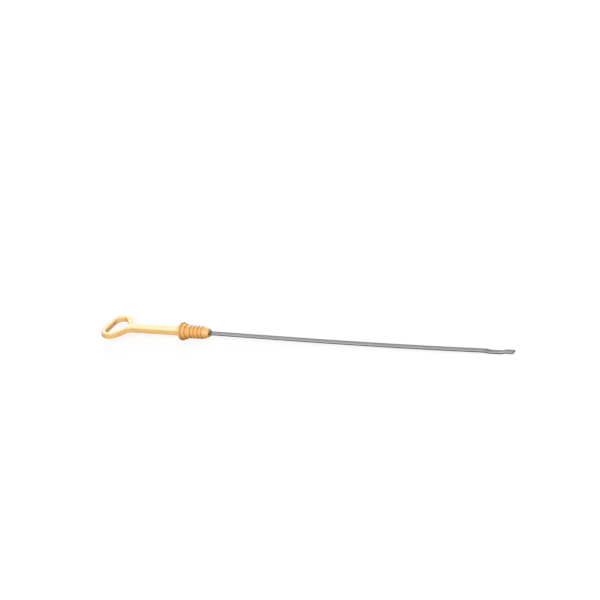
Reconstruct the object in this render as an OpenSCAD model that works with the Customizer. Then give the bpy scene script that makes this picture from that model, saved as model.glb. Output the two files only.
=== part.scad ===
// Engine oil dipstick, lying on a flat surface as it comes to rest.
// It touches the surface at the rim of its flange, at one corner of its finger loop and at the
// joggle of its blade. The origin is the centre of the seat, the face that closes the tube.

/* [Finger loop and shank] */
// Length of the loop from its outer end to where its sides meet the shank
loop_length = 31.5; // [29:0.5:42]
// Width of the loop across its two corners
loop_width = 44.2; // [40:0.1:56]
// Outer radius of the two corners of the loop
loop_corner_r = 12.8; // [10:0.1:14]
// Width of the bar that forms the loop
bar_w = 5.1; // [4:0.1:6.5]
// Inner radius of the loop's apex, beside the shank
apex_r = 9; // [4:0.1:10]
// Radius of the fillets between the loop and the shank
root_fillet_r = 7; // [2:0.5:10]
// Length of the shank from the loop to the flange
shank_length = 66.4; // [40:0.1:90]
// Width of the shank beside the loop
shank_w = 10.6; // [8:0.1:12]
// Width of the shank beside the flange
shank_w_flange = 11; // [8:0.1:14]
// Thickness of the loop and the shank
grip_t = 6; // [4:0.1:7]
// Radius of the moulded edges of the loop and shank
edge_r = 1; // [0.4:0.1:1.6]

/* [Flange and plug] */
// Diameter of the flange
flange_d = 20; // [18:0.1:26]
// Thickness of the flange
flange_t = 2.5; // [1.5:0.1:4]
// Diameter of the collar that seats on the tube
collar_d = 17; // [16:0.1:17.6]
// Thickness of the collar
collar_t = 4.3; // [2:0.1:6]
// Radius of the rims of the flange and collar
rim_r = 0.4; // [0.2:0.1:0.5]
// Diameter of the plug over its ribs
plug_d = 14.3; // [13.5:0.1:15]
// Diameter of the plug at the bottom of its grooves
groove_d = 12; // [10.5:0.1:12.6]
// Length of the plain band of the plug, beside the collar
band_length = 5.9; // [3:0.1:8]
// Number of ribs on the plug after the plain band
ribs = 3; // [2:1:5]
// Distance from rib to rib
rib_pitch = 4.8; // [4.2:0.05:6]
// Width of each rib
rib_w = 3; // [2:0.1:3.6]
// Radius of the edges of each rib
rib_r = 0.7; // [0.3:0.1:0.9]
// Length of the tapered nose
nose_length = 6.7; // [5:0.1:12]
// Diameter of the nose where it leaves the last groove
nose_base_d = 13.2; // [12.7:0.1:14.3]
// Depth of the slot round the blade in the end of the nose
mouth_depth = 2; // [1:0.1:3]
// Gap between the blade and the wall of that slot
mouth_gap = 0.25; // [0.2:0.05:0.6]
// Wall of the nose beside the corners of that slot
mouth_wall = 0.5; // [0.4:0.1:1.2]

/* [Blade] */
// Width of the steel strip
blade_w = 7; // [4:0.1:7.2]
// Thickness of the steel strip
blade_t = 1.2; // [0.6:0.1:1.5]
// Length of the blade from the end of the nose to its tip
blade_length = 365.5; // [250:0.5:450]
// Length of blade moulded into the plug behind the slot
root_length = 22; // [15:0.5:24]
// Diameter of the hole in the root that the plastic fills
anchor_d = 3; // [2:0.1:3.4]
// Angle at which the blade leaves the plug, down towards its tip
blade_set = 0.5; // [0:0.05:1]
// Length of the straight stretch of blade before its bow
straight_length = 110; // [40:1:150]
// Radius of the shallow bow of the blade
bow_r = 8300; // [6000:100:20000]
// Depth of the joggle that marks the measuring zone
joggle_depth = 1.1; // [0.5:0.1:2.5]
// Length of the bend down into the joggle
drop_length = 10; // [6:0.5:14]
// Length of the lowered stretch
zone_length = 9.5; // [6:0.5:30]
// Length of the bend up out of the joggle
rise_length = 7; // [5:0.5:12]
// Length of the blade past the joggle
tip_length = 9; // [7:0.5:20]
// Radius of the two corners at the tip
tip_r = 1.8; // [0.5:0.1:2]

/* [Fit] */
// Gap between the moulding and the steel that it grips
mould_gap = 0.02; // [0.01:0.01:0.1]

/* [Hidden] */
$fn = 64;
plastic = "#F4BC70";
steel = "#7C7D80";
bow_steps = 24;
bend_steps = 8;

// Places along the axis, measured from the seat, with the tip on the plus side
flange_x = -collar_t - flange_t;
loop_root_x = flange_x - shank_length;
loop_end_x = loop_root_x - loop_length;
shank_end_x = flange_x + flange_t / 2;
groove_w = rib_pitch - rib_w;
nose_x = band_length + ribs * rib_pitch + groove_w;
mouth_x = nose_x + nose_length;
mouth_floor_x = mouth_x - mouth_depth;
blade_start_x = mouth_floor_x - root_length;

// The end of the nose is wide enough for the corners of the slot
blade_sink = mouth_x * sin(blade_set);
nose_d = 2 * (norm([blade_w / 2 + mouth_gap, blade_t / 2 + mouth_gap + blade_sink]) + mouth_wall);

// Centre of a corner of the loop, and the way that the straight side beside it faces
corner_x = loop_end_x + loop_corner_r;
corner_y = loop_width / 2 - loop_corner_r;
root_dx = loop_root_x - corner_x;
root_dy = shank_w / 2 - corner_y;
side_a = atan2(root_dy, root_dx) + acos(loop_corner_r / norm([root_dx, root_dy]));

// Centre of the rounded apex, which leaves the sides of the loop as wide as its end
inner_reach = corner_x * cos(side_a) + corner_y * sin(side_a) + loop_corner_r - bar_w;
apex_x = (inner_reach - apex_r) / cos(side_a);

// Centre of a fillet, which touches the outer side of the loop and the edge of the shank
fillet_x = loop_root_x + root_fillet_r * (1 - sin(side_a)) / cos(side_a);
fillet_y = shank_w / 2 + root_fillet_r;

// Lengths of the blade's stretches
bow_start_x = mouth_x + straight_length;
joggle_length = drop_length + zone_length + rise_length;
bow_length = blade_length - straight_length - joggle_length - tip_length;

// Place on the blade in its own frame, d past the straight stretch and h above the centre line
function on_blade(d, h) =
    let (a = min(d, bow_length) / bow_r * 180 / PI, s = max(d - bow_length, 0))
    [bow_start_x + bow_r * sin(a) + s * cos(a) - h * sin(a),
        bow_r * (1 - cos(a)) + s * sin(a) + h * cos(a)];

// Underside of the lowered stretch, in the frame of the handle
zone_at = on_blade(bow_length + drop_length + zone_length / 2, -joggle_depth - blade_t / 2);
zone_x = zone_at[0] * cos(blade_set) + zone_at[1] * sin(blade_set);
zone_drop = zone_at[0] * sin(blade_set) - zone_at[1] * cos(blade_set);

// Pitch at which the flange and the flat underside of the joggle touch one level surface
rest_x = flange_x + flange_t - rim_r;
rest_pitch = atan((flange_d / 2 - zone_drop) / (zone_x - rest_x));

module lie_down() {
    rotate([0, rest_pitch, 0]) children();
}

// Points of an arc, each with the way that it faces: outwards, or inwards where face is -1
function arc(x, y, r, from_a, to_a, steps, face = 1) =
    [for (i = [0:steps])
        let (a = from_a + (to_a - from_a) * i / steps)
        [x + r * cos(a), y + r * sin(a), face * cos(a), face * sin(a)]];

// Half outline of the loop and shank, from the outer end of the loop to inside the flange
function grip_outline() = concat(
    arc(corner_x, corner_y, loop_corner_r, 180, side_a, 24),
    arc(fillet_x, fillet_y, root_fillet_r, side_a + 180, 270, 10, -1),
    [[shank_end_x, shank_w_flange / 2, 0, 1]]);

// Half outline of the opening in the loop, from its outer end to its apex
function opening_outline() = concat(
    arc(corner_x, corner_y, loop_corner_r - bar_w, 180, side_a, 20),
    arc(apex_x, 0, apex_r, side_a, side_a / 17, 8));

// Rings of the rim of the plate, from its underside to its top: how far each is drawn in from
// the outline and how high it lies
function rim_rings() =
    let (rounds = [for (a = [0:15:90]) [edge_r * (1 - cos(a)), grip_t / 2 - edge_r * (1 - sin(a))]])
    concat([for (i = [len(rounds) - 1:-1:0]) [rounds[i][0], -rounds[i][1]]], rounds);

// Solid whose rings follow a half outline and its mirror image
module ringed(half, rings) {
    n = len(half);
    m = 2 * n;
    other_half = [for (i = [n - 1:-1:0]) [half[i][0], -half[i][1], half[i][2], -half[i][3]]];
    outline = concat(half, other_half);
    points = [for (r = rings, p = outline) [p[0] - r[0] * p[2], p[1] - r[0] * p[3], r[1]]];
    sides = [for (k = [0:len(rings) - 2], i = [0:m - 1])
        let (a = k * m + i, b = k * m + (i + 1) % m)
        each [[a, b + m, a + m], [a, b, b + m]]];
    underside = [for (i = [0:n - 2]) [m - 1 - i, m - 2 - i, i + 1, i]];
    to_top = (len(rings) - 1) * m;
    top = [for (f = underside) [for (i = [3:-1:0]) f[i] + to_top]];
    polyhedron(points, concat(sides, underside, top));
}

// Loop and shank as one plate with rounded edges
module grip() {
    rim = rim_rings();
    opening_rim = [for (r = rim) [-r[0], r[1]]];
    difference() {
        ringed(grip_outline(), rim);
        ringed(opening_outline(), concat([[-edge_r, -grip_t]], opening_rim, [[-edge_r, grip_t]]));
    }
}

// Disc on the axis with rounded rims, starting at x
module disc(x, d, t, r) {
    translate([x, 0, 0])
        rotate([0, 90, 0])
            rotate_extrude() {
                square([d / 2 - r, t]);
                translate([0, r]) square([d / 2, t - 2 * r]);
                for (y = [r, t - r])
                    translate([d / 2 - r, y]) circle(r);
            }
}

// Flange and collar, the plug with its ribs, and the tapered nose
module plug() {
    disc(flange_x, flange_d, flange_t, rim_r);
    disc(-collar_t - rim_r, collar_d, collar_t + rim_r, rim_r);
    rotate([0, 90, 0]) cylinder(h = band_length, d = plug_d);
    rotate([0, 90, 0]) cylinder(h = nose_x, d = groove_d);
    for (i = [0:ribs - 1])
        disc(band_length + groove_w + i * rib_pitch, plug_d, rib_w, rib_r);
    translate([nose_x, 0, 0])
        rotate([0, 90, 0]) cylinder(h = nose_length, d1 = nose_base_d, d2 = nose_d);
}

// Strip on the blade's own line, from x to its end, grown all round by gap
module strip(x, end_x, gap) {
    translate([x - gap, -blade_w / 2 - gap, -blade_t / 2 - gap])
        cube([end_x - x + gap, blade_w + 2 * gap, blade_t + 2 * gap]);
}

// Hole in the root of the blade, or the plastic in it, which is smaller by gap all round
module anchor(gap) {
    translate([blade_start_x + root_length / 2, 0, -blade_t])
        cylinder(h = 2 * blade_t, d = anchor_d - 2 * gap);
}

module handle() {
    color(plastic)
        lie_down()
            difference() {
                union() {
                    grip();
                    plug();
                }
                rotate([0, blade_set, 0]) {
                    strip(mouth_floor_x + mouth_gap, mouth_x + 1, mouth_gap);
                    difference() {
                        strip(blade_start_x, mouth_floor_x + 1, mould_gap);
                        anchor(mould_gap);
                    }
                }
            }
}

// Points of a smooth bend from one height to another, as distance past its start and height
function bend(from_d, length, from_h, to_h) =
    [for (i = [1:bend_steps])
        [from_d + length * i / bend_steps,
            from_h + (to_h - from_h) * (1 - cos(180 * i / bend_steps)) / 2]];

// Side of the blade: straight root, shallow bow, joggle and tip
module blade_side() {
    zone_end = bow_length + drop_length + zone_length;
    line = concat(
        [for (i = [0:bow_steps]) [bow_length * i / bow_steps, 0]],
        bend(bow_length, drop_length, 0, -joggle_depth),
        [[zone_end, -joggle_depth]],
        bend(zone_end, rise_length, -joggle_depth, 0),
        [[zone_end + rise_length + tip_length, 0]]);
    n = len(line);
    polygon(concat(
        [[blade_start_x, blade_t / 2]],
        [for (p = line) on_blade(p[0], p[1] + blade_t / 2)],
        [for (i = [n - 1:-1:0]) on_blade(line[i][0], line[i][1] - blade_t / 2)],
        [[blade_start_x, -blade_t / 2]]));
}

// Blade seen from above, with its two rounded corners at the tip
module blade_outline() {
    end_x = on_blade(bow_length + joggle_length + tip_length, 0)[0];
    translate([blade_start_x - 1, -blade_w / 2])
        square([end_x - tip_r - blade_start_x + 1, blade_w]);
    translate([mouth_x, tip_r - blade_w / 2])
        square([end_x - mouth_x, blade_w - 2 * tip_r]);
    for (y = [-1, 1])
        translate([end_x - tip_r, y * (blade_w / 2 - tip_r)]) circle(tip_r);
}

module blade() {
    reach = blade_length / 8;
    color(steel)
        lie_down()
            rotate([0, blade_set, 0])
                difference() {
                    intersection() {
                        rotate([90, 0, 0]) linear_extrude(blade_w, center = true) blade_side();
                        translate([0, 0, -reach]) linear_extrude(2 * reach) blade_outline();
                    }
                    anchor(0);
                }
}

handle();
blade();
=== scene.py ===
"""Engine oil dipstick: a flat steel blade in a moulded plastic finger loop handle.

The handle is a smooth copy of its own node in model.glb. The blade is a bar that is rounded and
then bent by the sizes that its node in model.glb has, so nothing is resized.
"""

import math

import bmesh
import bpy
from bpy.props import FloatProperty, FloatVectorProperty, PointerProperty
from mathutils import Matrix, Vector


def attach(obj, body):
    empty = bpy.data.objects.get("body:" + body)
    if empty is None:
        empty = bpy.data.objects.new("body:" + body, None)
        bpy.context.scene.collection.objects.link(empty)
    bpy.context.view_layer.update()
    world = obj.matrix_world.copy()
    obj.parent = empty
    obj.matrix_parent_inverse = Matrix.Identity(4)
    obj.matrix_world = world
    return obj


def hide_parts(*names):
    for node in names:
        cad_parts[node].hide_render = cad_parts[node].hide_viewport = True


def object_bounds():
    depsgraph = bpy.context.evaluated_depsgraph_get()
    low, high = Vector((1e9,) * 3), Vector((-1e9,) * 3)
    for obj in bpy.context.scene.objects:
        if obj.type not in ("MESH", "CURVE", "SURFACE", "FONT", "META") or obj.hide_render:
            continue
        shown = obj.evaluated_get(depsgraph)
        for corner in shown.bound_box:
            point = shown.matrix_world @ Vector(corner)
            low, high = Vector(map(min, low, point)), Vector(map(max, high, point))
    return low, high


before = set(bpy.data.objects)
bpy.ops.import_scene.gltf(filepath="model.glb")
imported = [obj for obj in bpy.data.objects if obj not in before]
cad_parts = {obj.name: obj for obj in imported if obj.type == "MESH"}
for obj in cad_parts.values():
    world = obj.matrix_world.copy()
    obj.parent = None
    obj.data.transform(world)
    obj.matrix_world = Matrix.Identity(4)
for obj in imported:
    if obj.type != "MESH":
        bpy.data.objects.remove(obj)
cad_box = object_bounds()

bl_info = {
    "name": "Engine oil dipstick",
    "version": (1, 0, 0),
    "blender": (4, 5, 0),
    "location": "3D View > Sidebar > Dipstick",
    "description": "Moulded handle, spring steel blade and studio of an engine oil dipstick",
    "category": "Object",
}

MM = 0.001
# The dipstick lies on its flange and its measuring zone, pitched down to its tip by this angle
REST_PITCH = math.radians(1.2641)
# Turns the dipstick at rest back to its own axes: X along the stick, Z through its flat
OWN_TURN = Matrix.Rotation(-REST_PITCH, 3, "Y").to_euler("XYZ")

# Places on the handle along its axis from the seat, and the radii of its grooves and ribs
THIN_END = -14 * MM
SOLID_START = -5 * MM
COLLAR_LENGTH = 4.3 * MM
GROOVES_START = 5.9 * MM
GROOVES_END = 22.1 * MM
GROOVE_RADIUS = 6.0 * MM
RIB_RADIUS = 7.15 * MM
# How much painted shade darkens the grooves and the inner corners of the plug
GROOVE_SHADE = 0.42
CORNER_SHADE = 0.5

# The blade leaves the plug at this angle, down from the plug's axis
BLADE_SET = math.radians(0.5)
# Where the root and the bow of the blade start on its own axis, from the seat
ROOT_START = 4.8 * MM
BOW_START = 138.8 * MM
BOW_RADIUS = 8300 * MM
# Lengths of the bow, the bend down, the lowered measuring zone, the bend up and the tip
BOW = 220 * MM
DROP = 10 * MM
ZONE = 9.5 * MM
RISE = 7 * MM
TIP = 9 * MM
# The same lengths in their order, each with the number of cuts at which it can bend
STRETCHES = ((BOW, 24), (DROP, 16), (ZONE, 2), (RISE, 12), (TIP, 1))
JOGGLE_DEPTH = 1.1 * MM
BLADE_WIDTH = 7 * MM
BLADE_THICKNESS = 1.2 * MM
TIP_RADIUS = 1.8 * MM
TIP_SEGMENTS = 10
RIM_SEGMENTS = 4

# Corners of the node's loose triangles from model.glb that lie nearer than this are one
MERGE_DISTANCE = 0.0005 * MM
# Points of the blade that lie nearer than this to a cut lie on it
CUT_DISTANCE = 0.0001 * MM
# Edges that bend by more than this stay sharp
SHARP_ANGLE = math.radians(32)

# The paper reaches this far from its middle, in metres
FLOOR_REACH = 30.0
# Distances from the middle of the dipstick between which the paper's white grows, in metres
NEAR_PAPER = 0.5
FAR_PAPER = 1.1
# Level at which the white room lights the object; the camera and reflections see it at one
ROOM_LIGHT = 0.32
IMAGE_PIXELS = 600
# The seat of the plug lies this many pixels left of and below the middle of the image
SEAT_LEFT = 112.65
SEAT_BELOW = 31.5
# Width of the camera's sensor, in millimetres as Blender counts it
SENSOR_WIDTH = 36.0
# The camera sees what lies between these distances, in metres
NEAREST_SEEN = 0.1
FURTHEST_SEEN = 200.0


def linear(hex_colour):
    """Linear red, green and blue of an sRGB hex colour such as "#F2B25C"."""
    parts = [int(hex_colour[i:i + 2], 16) / 255 for i in (1, 3, 5)]
    return tuple(c / 12.92 if c <= 0.04045 else ((c + 0.055) / 1.055) ** 2.4 for c in parts)


def add_node(tree, kind, links=None, **settings):
    """Adds a node: settings are its attributes, or its inputs by name, and links feed these."""
    node = tree.nodes.new(kind)
    values = settings.pop("inputs", {})
    for name, value in settings.items():
        setattr(node, name, value)
    for name, value in values.items():
        node.inputs[name].default_value = value
    for name, source in (links or {}).items():
        tree.links.new(source, node.inputs[name])
    return node


def new_material(name):
    """An empty material with its node tree and output node."""
    material = bpy.data.materials.new(name)
    material.use_nodes = True
    material.node_tree.nodes.clear()
    output = add_node(material.node_tree, "ShaderNodeOutputMaterial")
    return material, material.node_tree, output


def rgba(colour):
    """The colour with an alpha of one."""
    return (*colour[:3], 1.0)


def shade(colour, factor):
    """A lighter or darker, equally saturated colour."""
    return tuple(min(1.0, c * factor) for c in colour[:3])


def pattern_scale(*sizes):
    """Scales along X, Y and Z that give a noise these sizes in millimetres."""
    return tuple(1 / (size * MM) for size in sizes)


def merged_copy(node_name):
    """A bmesh of a CAD node with the corners of its loose triangles joined."""
    shape = bmesh.new()
    shape.from_mesh(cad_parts[node_name].data)
    bmesh.ops.remove_doubles(shape, verts=shape.verts, dist=MERGE_DISTANCE)
    return shape


def joggle_height(along):
    """Height of the strip's middle over its bow, where it dips into the measuring zone."""
    past_drop = min(max((along - BOW) / DROP, 0), 1)
    past_rise = min(max((along - BOW - DROP - ZONE) / RISE, 0), 1)
    return JOGGLE_DEPTH * (math.cos(math.pi * past_drop) - math.cos(math.pi * past_rise)) / 2


def on_strip(along, across, height):
    """Point of the strip in its own axes, by its distance past the start of the bow."""
    turned = min(max(along, 0), BOW) / BOW_RADIUS
    straight = along - turned * BOW_RADIUS
    height += joggle_height(along)
    return Vector((BOW_START + BOW_RADIUS * math.sin(turned) + straight * math.cos(turned)
                   - height * math.sin(turned), across,
                   BOW_RADIUS * (1 - math.cos(turned)) + straight * math.sin(turned)
                   + height * math.cos(turned)))


def round_off(shape, edges, radius, segments):
    """Rounds edges of the bmesh."""
    bmesh.ops.bevel(shape, geom=edges, offset=radius, offset_type="OFFSET", segments=segments,
                    affect="EDGES", profile=0.5, material=-1, clamp_overlap=True)


def bent_strip(edge_round):
    """A bmesh of the strip, cut flat from a bar, rounded, and bent as the real blank is."""
    root, tip = ROOT_START - BOW_START, BOW + DROP + ZONE + RISE + TIP
    shape = bmesh.new()
    bmesh.ops.create_cube(shape, size=1)
    bmesh.ops.scale(shape, verts=shape.verts, vec=(tip - root, BLADE_WIDTH, BLADE_THICKNESS))
    bmesh.ops.translate(shape, verts=shape.verts, vec=((root + tip) / 2, 0, 0))
    corners = [e for e in shape.edges
               if all(v.co.x > tip - TIP_RADIUS for v in e.verts)
               and e.verts[0].co.y == e.verts[1].co.y]
    round_off(shape, corners, TIP_RADIUS, TIP_SEGMENTS)
    rims = [e for e in shape.edges
            if abs(e.verts[0].co.z - e.verts[1].co.z) < BLADE_THICKNESS / 2]
    round_off(shape, rims, edge_round, RIM_SEGMENTS)
    start = 0
    for length, cuts in STRETCHES:
        for i in range(cuts):
            bmesh.ops.bisect_plane(shape, geom=shape.verts[:] + shape.edges[:] + shape.faces[:],
                                   dist=CUT_DISTANCE, plane_co=(start + length * i / cuts, 0, 0),
                                   plane_no=(1, 0, 0))
        start += length
    lie_down = Matrix.Rotation(REST_PITCH + BLADE_SET, 3, "Y")
    for vert in shape.verts:
        vert.co = lie_down @ on_strip(*vert.co)
    bmesh.ops.recalc_face_normals(shape, faces=shape.faces)
    return shape


def make_piece(shape, node_name, piece_name, material):
    """Turns the bmesh into the piece that stands for a CAD node, smooth but for its sharp edges."""
    if not shape.faces:
        raise RuntimeError(f"{piece_name} has no faces")
    for face in shape.faces:
        face.smooth = True
    for edge in shape.edges:
        edge.smooth = edge.calc_face_angle(0.0) < SHARP_ANGLE
    mesh = bpy.data.meshes.new(piece_name)
    shape.to_mesh(mesh)
    shape.free()
    # The node's own normals belong to its loose triangles, so the piece works out new ones
    stored = mesh.attributes.get("custom_normal")
    if stored:
        mesh.attributes.remove(stored)
    mesh.materials.append(material)
    piece = bpy.data.objects.new(piece_name, mesh)
    bpy.context.scene.collection.objects.link(piece)
    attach(piece, "root")
    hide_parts(node_name)
    # Large faces keep their own normal beside small rounded ones
    weighted = piece.modifiers.new("flat faces", "WEIGHTED_NORMAL")
    weighted.mode = "FACE_AREA"
    weighted.keep_sharp = True


def moulded_nylon(settings):
    """Injection-moulded nylon, dyed yellow-orange through and through.

    The eye gets a clear warm colour that is paler where the skin catches the light, a soft
    satin gloss broken by the faint orange peel of the mould, and one fine seam along the edge.
    """
    material, tree, output = new_material("moulded nylon")
    place = add_node(tree, "ShaderNodeTexCoord")
    own = add_node(tree, "ShaderNodeMapping", {"Vector": place.outputs["Object"]},
                   inputs={"Rotation": OWN_TURN})
    own_axes = add_node(tree, "ShaderNodeSeparateXYZ", {"Vector": own.outputs["Vector"]})

    # Painted light: the thin loop and shank are painted paler than the solid plug, as light goes
    # through them
    solid = add_node(tree, "ShaderNodeMapRange", {"Value": own_axes.outputs["X"]},
                     interpolation_type="SMOOTHSTEP",
                     inputs={"From Min": THIN_END, "From Max": SOLID_START})
    painted_translucency = add_node(tree, "ShaderNodeMix", {"Factor": solid.outputs["Result"]},
                     data_type="RGBA",
                     inputs={6: rgba(settings.colour), 7: rgba(settings.plug_shaded_colour)})
    # Painted shade in the grooves of the plug, which lie nearer its axis than the ribs
    across = add_node(tree, "ShaderNodeCombineXYZ",
                      {"Y": own_axes.outputs["Y"], "Z": own_axes.outputs["Z"]})
    radius = add_node(tree, "ShaderNodeVectorMath", {0: across.outputs["Vector"]},
                      operation="LENGTH")
    low = add_node(tree, "ShaderNodeMapRange", {"Value": radius.outputs["Value"]},
                   inputs={"From Min": GROOVE_RADIUS + 0.2 * MM, "From Max": RIB_RADIUS,
                           "To Min": GROOVE_SHADE, "To Max": 0.0})
    past_band = add_node(tree, "ShaderNodeMapRange", {"Value": own_axes.outputs["X"]},
                         inputs={"From Min": GROOVES_START - 0.3 * MM, "From Max": GROOVES_START})
    before_nose = add_node(tree, "ShaderNodeMapRange", {"Value": own_axes.outputs["X"]},
                           inputs={"From Min": GROOVES_END, "From Max": GROOVES_END + 0.3 * MM,
                                   "To Min": 1.0, "To Max": 0.0})
    groove_shade_in_band = add_node(tree, "ShaderNodeMath",
                        {0: low.outputs["Result"], 1: past_band.outputs["Result"]},
                        operation="MULTIPLY")
    painted_shade = add_node(tree, "ShaderNodeMath",
                     {0: groove_shade_in_band.outputs["Value"], 1: before_nose.outputs["Result"]},
                     operation="MULTIPLY")
    # The same painted shade darkens the inner corners beside the flange and the collar
    for corner_x in (-COLLAR_LENGTH, 0.0):
        off = add_node(tree, "ShaderNodeMath", {0: own_axes.outputs["X"]},
                       operation="SUBTRACT", inputs={1: corner_x})
        corner = add_node(tree, "ShaderNodeMapRange", {"Value": off.outputs["Value"]},
                          inputs={"From Min": 0.3 * MM, "From Max": 1.2 * MM,
                                  "To Min": CORNER_SHADE, "To Max": 0.0})
        beyond = add_node(tree, "ShaderNodeMath", {0: off.outputs["Value"]},
                          operation="GREATER_THAN", inputs={1: -0.05 * MM})
        corner_shade = add_node(tree, "ShaderNodeMath",
                                {0: corner.outputs["Result"], 1: beyond.outputs["Value"]},
                                operation="MULTIPLY")
        painted_shade = add_node(tree, "ShaderNodeMath",
                         {0: painted_shade.outputs["Value"], 1: corner_shade.outputs["Value"]},
                         operation="MAXIMUM")
    # Painted shade: the groove colour is mixed in where that mask falls
    shade_painted = add_node(tree, "ShaderNodeMix",
                       {"Factor": painted_shade.outputs["Value"], 6: painted_translucency.outputs[2]},
                       data_type="RGBA", inputs={7: rgba(settings.groove_shade_colour)})

    # Flow of the melt: soft streaks 25 mm long and 5 mm wide
    flow_place = add_node(tree, "ShaderNodeMapping", {"Vector": own.outputs["Vector"]},
                          inputs={"Scale": pattern_scale(25, 5, 5)})
    flow = add_node(tree, "ShaderNodeTexNoise", {"Vector": flow_place.outputs["Vector"]},
                    inputs={"Scale": 1.0, "Detail": 3.0, "Roughness": 0.5})
    streak = add_node(tree, "ShaderNodeMapRange", {"Value": flow.outputs["Fac"]},
                      inputs={"From Min": 0.3, "From Max": 0.7, "To Min": 0.94, "To Max": 1.03})
    tint = add_node(tree, "ShaderNodeVectorMath",
                    {0: shade_painted.outputs[2], "Scale": streak.outputs["Result"]},
                    operation="SCALE")

    # Satin skin: gloss varies in patches 2.5 mm across
    skin = add_node(tree, "ShaderNodeTexNoise", {"Vector": own.outputs["Vector"]},
                    inputs={"Scale": 1 / (2.5 * MM), "Detail": 2.0})
    gloss = add_node(tree, "ShaderNodeMapRange", {"Value": skin.outputs["Fac"]},
                     inputs={"To Min": settings.roughness - 0.05,
                             "To Max": settings.roughness + 0.07})

    # Orange peel of the mould's surface, 0.9 mm from dimple to dimple
    peel = add_node(tree, "ShaderNodeTexNoise", {"Vector": own.outputs["Vector"]},
                    inputs={"Scale": 1 / (0.9 * MM), "Detail": 2.0, "Roughness": 0.45})
    peel_bump = add_node(tree, "ShaderNodeBump", {"Height": peel.outputs["Fac"]},
                         inputs={"Strength": 0.18, "Distance": 0.03 * MM})

    # Seam where the two halves of the mould met, on the mid-plane of the loop
    off_plane = add_node(tree, "ShaderNodeMath", {0: own_axes.outputs["Z"]},
                         operation="ABSOLUTE")
    seam = add_node(tree, "ShaderNodeMapRange", {"Value": off_plane.outputs["Value"]},
                    interpolation_type="SMOOTHSTEP",
                    inputs={"From Min": 0.0, "From Max": settings.seam_width,
                            "To Min": 1.0, "To Max": 0.0})
    seam_bump = add_node(tree, "ShaderNodeBump",
                         {"Height": seam.outputs["Result"], "Normal": peel_bump.outputs["Normal"]},
                         inputs={"Strength": 0.5, "Distance": 0.06 * MM})

    skin_shader = add_node(
        tree, "ShaderNodeBsdfPrincipled",
        {"Base Color": tint.outputs["Vector"], "Roughness": gloss.outputs["Result"],
         "Normal": seam_bump.outputs["Normal"]},
        inputs={"IOR": 1.53, "Subsurface Weight": 0.3, "Subsurface Scale": 3.0 * MM,
                "Subsurface Radius": (1.0, 0.5, 0.2)})
    tree.links.new(skin_shader.outputs["BSDF"], output.inputs["Surface"])
    return material


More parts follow.
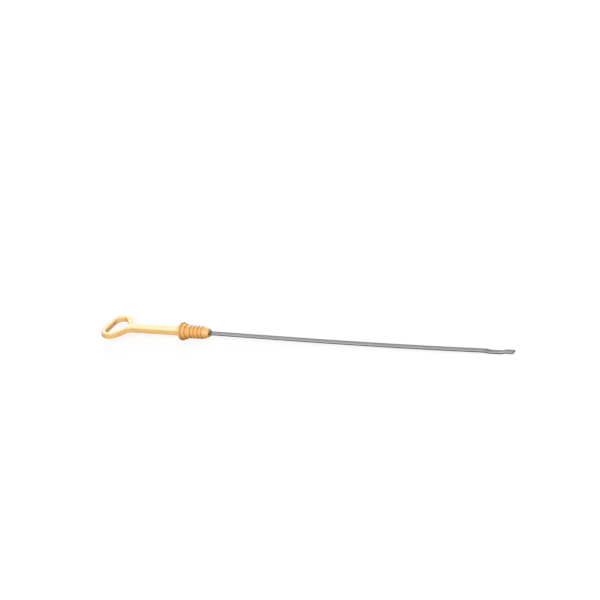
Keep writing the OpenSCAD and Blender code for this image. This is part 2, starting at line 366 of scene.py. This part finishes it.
def rolled_spring_steel(settings):
    """Cold-rolled spring steel strip, bare and lightly oiled.

    The eye gets a dull mid grey with lengthwise rolling lines, a few darker smears of old oil,
    and a band of light that stretches along the strip.
    """
    material, tree, output = new_material("rolled spring steel")
    place = add_node(tree, "ShaderNodeTexCoord")
    own = add_node(tree, "ShaderNodeMapping", {"Vector": place.outputs["Object"]},
                   inputs={"Rotation": OWN_TURN})
    own_axes = add_node(tree, "ShaderNodeSeparateXYZ", {"Vector": own.outputs["Vector"]})

    # Rolling lines: 0.25 mm apart across the strip and 20 mm long
    line_place = add_node(tree, "ShaderNodeMapping", {"Vector": own.outputs["Vector"]},
                          inputs={"Scale": pattern_scale(20, 0.25, 0.25)})
    lines = add_node(tree, "ShaderNodeTexNoise", {"Vector": line_place.outputs["Vector"]},
                     inputs={"Scale": 1.0, "Detail": 3.0, "Roughness": 0.6})
    # Smears of oil, 30 mm long and 4 mm wide
    smear_place = add_node(tree, "ShaderNodeMapping", {"Vector": own.outputs["Vector"]},
                           inputs={"Scale": pattern_scale(30, 4, 4)})
    smears = add_node(tree, "ShaderNodeTexNoise", {"Vector": smear_place.outputs["Vector"]},
                      inputs={"Scale": 1.0, "Detail": 4.0, "Roughness": 0.55})
    colour = tuple(settings.colour)
    line_tint = add_node(tree, "ShaderNodeValToRGB", {"Fac": lines.outputs["Fac"]})
    line_tint.color_ramp.elements[0].position = 0.35
    line_tint.color_ramp.elements[0].color = rgba(shade(colour, 0.82))
    line_tint.color_ramp.elements[1].position = 0.65
    line_tint.color_ramp.elements[1].color = rgba(shade(colour, 1.15))
    smear_amount = add_node(tree, "ShaderNodeMapRange", {"Value": smears.outputs["Fac"]},
                            inputs={"From Min": 0.5, "From Max": 0.75, "To Max": 0.5})
    oiled = add_node(tree, "ShaderNodeMix",
                     {"Factor": smear_amount.outputs["Result"], 6: line_tint.outputs["Color"]},
                     data_type="RGBA", inputs={7: rgba(shade(colour, 0.72))})
    # The upper face is told by its normal, which nearly points up
    facing = add_node(tree, "ShaderNodeMapping", {"Vector": place.outputs["Normal"]},
                      vector_type="VECTOR", inputs={"Rotation": OWN_TURN})
    facing_axes = add_node(tree, "ShaderNodeSeparateXYZ", {"Vector": facing.outputs["Vector"]})
    upper = add_node(tree, "ShaderNodeMapRange", {"Value": facing_axes.outputs["Z"]},
                     inputs={"From Min": 0.75, "From Max": 0.97})
    # There a band towards one arris is painted bright as a highlight, and a band towards the other
    # is painted dark as shade
    tint = oiled
    for from_y, to_y, factor in ((-0.4, -2.2, 1.5), (0.2, 2.4, 0.62)):
        along = add_node(tree, "ShaderNodeMapRange", {"Value": own_axes.outputs["Y"]},
                         interpolation_type="SMOOTHSTEP",
                         inputs={"From Min": from_y * MM, "From Max": to_y * MM})
        painted_light_amount = add_node(tree, "ShaderNodeMath",
                          {0: along.outputs["Result"], 1: upper.outputs["Result"]},
                          operation="MULTIPLY")
        tint = add_node(tree, "ShaderNodeMix",
                        {"Factor": painted_light_amount.outputs["Value"], 6: tint.outputs[2]},
                        data_type="RGBA", inputs={7: rgba(shade(colour, factor))})
    gloss = add_node(tree, "ShaderNodeMapRange", {"Value": lines.outputs["Fac"]},
                     inputs={"To Min": settings.roughness - 0.06,
                             "To Max": settings.roughness + 0.1})
    line_bump = add_node(tree, "ShaderNodeBump", {"Height": lines.outputs["Fac"]},
                         inputs={"Strength": 0.3, "Distance": 0.01 * MM})
    strip_shader = add_node(
        tree, "ShaderNodeBsdfPrincipled",
        {"Base Color": tint.outputs[2], "Roughness": gloss.outputs["Result"],
         "Normal": line_bump.outputs["Normal"]},
        inputs={"Metallic": 1.0})
    tree.links.new(strip_shader.outputs["BSDF"], output.inputs["Surface"])
    return material


def seamless_paper(settings):
    """Matt white studio paper: an even white that keeps the faint shadow under the object."""
    material, tree, output = new_material("seamless paper")
    paper = add_node(tree, "ShaderNodeBsdfDiffuse", inputs={"Color": rgba(settings.floor_colour)})
    ray = add_node(tree, "ShaderNodeLightPath")
    # Far from the softboxes the paper is dimmer, so more white is added to it there
    place = add_node(tree, "ShaderNodeTexCoord")
    off_middle = add_node(tree, "ShaderNodeVectorMath",
                          {0: place.outputs["Object"]}, operation="DISTANCE",
                          inputs={1: (cad_box[0] + cad_box[1]) / 2})
    white = add_node(tree, "ShaderNodeMapRange", {"Value": off_middle.outputs["Value"]},
                     interpolation_type="SMOOTHSTEP",
                     inputs={"From Min": NEAR_PAPER, "From Max": FAR_PAPER,
                             "To Min": settings.floor_glow, "To Max": settings.far_glow})
    level = add_node(tree, "ShaderNodeMath",
                     {0: ray.outputs["Is Camera Ray"], 1: white.outputs["Result"]},
                     operation="MULTIPLY")
    glow = add_node(tree, "ShaderNodeEmission", {"Strength": level.outputs["Value"]})
    both = add_node(tree, "ShaderNodeAddShader",
                    {0: paper.outputs["BSDF"], 1: glow.outputs["Emission"]})
    tree.links.new(both.outputs["Shader"], output.inputs["Surface"])
    return material


def softbox(name, direction, distance, width, height, power, aim):
    """A softbox that lights the object from a direction, out of the camera's sight."""
    lamp = bpy.data.lights.new(name, "AREA")
    lamp.shape = "RECTANGLE"
    lamp.size = width
    lamp.size_y = height
    lamp.energy = power
    holder = bpy.data.objects.new(name, lamp)
    bpy.context.scene.collection.objects.link(holder)
    towards = Vector(direction).normalized()
    holder.location = Vector(aim) + towards * distance
    holder.rotation_mode = "QUATERNION"
    holder.rotation_quaternion = towards.to_track_quat("Z", "Y")
    holder.visible_camera = False


class HandleSettings(bpy.types.PropertyGroup):
    """Colour and surface of the moulded handle."""

    colour: FloatVectorProperty(
        name="Plastic colour", description="Colour of the nylon", subtype="COLOR", size=3,
        min=0, max=1, default=linear("#F1C783"))
    # Painted shade: the deeper colour of the solid plug, where less light goes through it
    plug_shaded_colour: FloatVectorProperty(
        name="Plug colour", description="Deeper look of the nylon where it is solid",
        subtype="COLOR", size=3, min=0, max=1, default=linear("#EDB66C"))
    # Painted shade: the darker colour put in the grooves and inner corners, not oil
    groove_shade_colour: FloatVectorProperty(
        name="Groove colour", description="Colour of the nylon under old oil", subtype="COLOR",
        size=3, min=0, max=1, default=linear("#B97A36"))
    roughness: FloatProperty(
        name="Roughness", description="How satin the skin of the moulding is", subtype="FACTOR",
        min=0.1, max=0.9, default=0.34)
    seam_width: FloatProperty(
        name="Seam width", description="Half width of the seam left by the mould",
        subtype="DISTANCE", unit="LENGTH", min=0.0, max=0.0005, default=0.12 * MM, precision=5)


class BladeSettings(bpy.types.PropertyGroup):
    """Colour, gloss and edges of the steel blade."""

    colour: FloatVectorProperty(
        name="Steel colour", description="Colour of the bare steel", subtype="COLOR", size=3,
        min=0, max=1, default=linear("#636363"))
    roughness: FloatProperty(
        name="Roughness", description="How dull the rolled surface is", subtype="FACTOR",
        min=0.1, max=0.9, default=0.5)
    edge_round: FloatProperty(
        name="Edge rounding", description="How far the rolled edges of the strip are rounded",
        subtype="DISTANCE", unit="LENGTH", min=0.0, max=0.0004, default=0.3 * MM, precision=5)


class StageSettings(bpy.types.PropertyGroup):
    """Floor, lamps and camera."""

    floor_colour: FloatVectorProperty(
        name="Floor colour", description="Colour of the studio paper", subtype="COLOR", size=3,
        min=0, max=1, default=linear("#8C8C8C"))
    floor_glow: FloatProperty(
        name="Near white", description="White that the camera sees added to the paper near the "
        "object, where it keeps the shadow", min=0, max=1, default=0.75)
    far_glow: FloatProperty(
        name="Far white", description="White that the camera sees added to the paper far away",
        min=0, max=1, default=0.95)
    azimuth: FloatProperty(
        name="View azimuth", description="Direction of the camera round the object",
        subtype="ANGLE", unit="ROTATION", default=math.radians(33.80))
    elevation: FloatProperty(
        name="View elevation", description="Height of the camera above the horizon",
        subtype="ANGLE", unit="ROTATION", default=math.radians(25.30))
    tilt: FloatProperty(
        name="Camera tilt", description="Turn of the camera about its own view",
        subtype="ANGLE", unit="ROTATION", default=math.radians(14.05))
    distance: FloatProperty(
        name="Camera distance", description="Distance of the camera from the seat of the plug",
        subtype="DISTANCE", unit="LENGTH", min=0.5, default=3.0)
    pixel_size: FloatProperty(
        name="Pixel size", description="Size of one pixel of the image at the seat of the plug",
        subtype="DISTANCE", unit="LENGTH", min=0.0001, default=1.093 * MM, precision=6)


class DIPSTICK_OT_handle(bpy.types.Operator):
    """Makes the moulded handle: finger loop, shank, flange, collar and ribbed plug"""

    bl_idname = "dipstick.handle"
    bl_label = "Handle"
    bl_options = {"REGISTER", "UNDO"}

    def execute(self, context):
        settings = context.scene.dipstick_handle
        make_piece(merged_copy("handle"), "handle", "handle_moulding",
                   moulded_nylon(settings))
        return {"FINISHED"}


class DIPSTICK_OT_blade(bpy.types.Operator):
    """Makes the steel blade with the rounded edges of rolled strip"""

    bl_idname = "dipstick.blade"
    bl_label = "Blade"
    bl_options = {"REGISTER", "UNDO"}

    def execute(self, context):
        settings = context.scene.dipstick_blade
        make_piece(bent_strip(settings.edge_round), "blade", "blade_strip",
                   rolled_spring_steel(settings))
        return {"FINISHED"}


class DIPSTICK_OT_stage(bpy.types.Operator):
    """Lays the paper, hangs the lamps and sets up the camera"""

    bl_idname = "dipstick.stage"
    bl_label = "Stage"
    bl_options = {"REGISTER", "UNDO"}

    def execute(self, context):
        scene = context.scene
        settings = scene.dipstick_stage
        self.lay_paper(scene, settings)
        self.light_world(scene)
        self.hang_lamps()
        self.set_camera(scene, settings)
        scene.view_settings.view_transform = "Standard"
        return {"FINISHED"}

    def lay_paper(self, scene, settings):
        """The sheet of paper that the dipstick lies on."""
        sheet = bmesh.new()
        bmesh.ops.create_grid(sheet, x_segments=1, y_segments=1, size=FLOOR_REACH)
        bmesh.ops.translate(sheet, verts=sheet.verts, vec=(0, 0, cad_box[0].z))
        mesh = bpy.data.meshes.new("paper")
        sheet.to_mesh(mesh)
        sheet.free()
        mesh.materials.append(seamless_paper(settings))
        paper = bpy.data.objects.new("paper", mesh)
        scene.collection.objects.link(paper)

    def light_world(self, scene):
        """A white room, which the camera and reflections see whiter than it lights."""
        world = bpy.data.worlds.new("white room")
        world.use_nodes = True
        tree = world.node_tree
        tree.nodes.clear()
        ray = add_node(tree, "ShaderNodeLightPath")
        seen = add_node(tree, "ShaderNodeMath",
                        {0: ray.outputs["Is Camera Ray"], 1: ray.outputs["Is Glossy Ray"]},
                        operation="MAXIMUM")
        seen_all = add_node(tree, "ShaderNodeMath",
                            {0: seen.outputs["Value"], 1: ray.outputs["Is Transmission Ray"]},
                            operation="MAXIMUM")
        level = add_node(tree, "ShaderNodeMapRange", {"Value": seen_all.outputs["Value"]},
                         inputs={"To Min": ROOM_LIGHT, "To Max": 1.0})
        light = add_node(tree, "ShaderNodeBackground", {"Strength": level.outputs["Result"]},
                         inputs={"Color": (1.0, 1.0, 1.0, 1.0)})
        output = add_node(tree, "ShaderNodeOutputWorld")
        tree.links.new(light.outputs["Background"], output.inputs["Surface"])
        scene.world = world

    def hang_lamps(self):
        """The softboxes, which lie in these directions and distances from what they aim at."""
        # Behind the object, where its reflection pales the flat of the shank
        softbox("top softbox", direction=(-0.495, 0.749, 0.441), distance=1.7, width=1.1,
                height=1.0, power=11.0, aim=(0.1, 0, 0))
        # In front and above, as the main light on the sides that face the camera
        softbox("front softbox", direction=(0.329, -0.773, 0.542), distance=1.6, width=1.6,
                height=1.6, power=30.0, aim=(0.05, 0, 0))
        # Low and wide behind the object, as a light on its far side
        softbox("back softbox", direction=(0.1, 0.95, 0.2), distance=1.8, width=1.4,
                height=0.5, power=14.0, aim=(0.1, 0, 0))

    def set_camera(self, scene, settings):
        """The camera, far off and with a long lens, so that its perspective is slight."""
        camera = bpy.data.cameras.new("camera")
        holder = bpy.data.objects.new("camera", camera)
        scene.collection.objects.link(holder)
        azimuth, elevation = settings.azimuth, settings.elevation
        back = Vector((math.sin(azimuth) * math.cos(elevation),
                       -math.cos(azimuth) * math.cos(elevation), math.sin(elevation)))
        level_right = Vector((math.cos(azimuth), math.sin(azimuth), 0))
        level_up = back.cross(level_right)
        turn = Matrix.Rotation(-settings.tilt, 3, back)
        right, up = turn @ level_right, turn @ level_up
        aim = right * SEAT_LEFT * settings.pixel_size + up * SEAT_BELOW * settings.pixel_size
        holder.matrix_world = Matrix.Translation(aim + back * settings.distance) @ Matrix(
            (right, up, back)).transposed().to_4x4()
        camera.sensor_width = SENSOR_WIDTH
        camera.lens = SENSOR_WIDTH * settings.distance / (IMAGE_PIXELS * settings.pixel_size)
        camera.clip_start = NEAREST_SEEN
        camera.clip_end = FURTHEST_SEEN
        scene.camera = holder


class DIPSTICK_PT_panel(bpy.types.Panel):
    """Lists the pieces of the dipstick and their settings"""

    bl_idname = "DIPSTICK_PT_panel"
    bl_label = "Engine oil dipstick"
    bl_space_type = "VIEW_3D"
    bl_region_type = "UI"
    bl_category = "Dipstick"

    def draw(self, context):
        for operator, settings in ((DIPSTICK_OT_handle, context.scene.dipstick_handle),
                                   (DIPSTICK_OT_blade, context.scene.dipstick_blade),
                                   (DIPSTICK_OT_stage, context.scene.dipstick_stage)):
            box = self.layout.box()
            box.operator(operator.bl_idname)
            for name in settings.__annotations__:
                box.prop(settings, name)


CLASSES = (HandleSettings, BladeSettings, StageSettings, DIPSTICK_OT_handle, DIPSTICK_OT_blade,
           DIPSTICK_OT_stage, DIPSTICK_PT_panel)


def register():
    for each in CLASSES:
        bpy.utils.register_class(each)
    bpy.types.Scene.dipstick_handle = PointerProperty(type=HandleSettings)
    bpy.types.Scene.dipstick_blade = PointerProperty(type=BladeSettings)
    bpy.types.Scene.dipstick_stage = PointerProperty(type=StageSettings)


def unregister():
    del bpy.types.Scene.dipstick_stage
    del bpy.types.Scene.dipstick_blade
    del bpy.types.Scene.dipstick_handle
    for each in reversed(CLASSES):
        bpy.utils.unregister_class(each)


def main():
    """Makes the whole scene."""
    register()
    bpy.ops.dipstick.stage()
    bpy.ops.dipstick.handle()
    bpy.ops.dipstick.blade()
    bpy.context.view_layer.update()


if __name__ == "__main__":
    main()
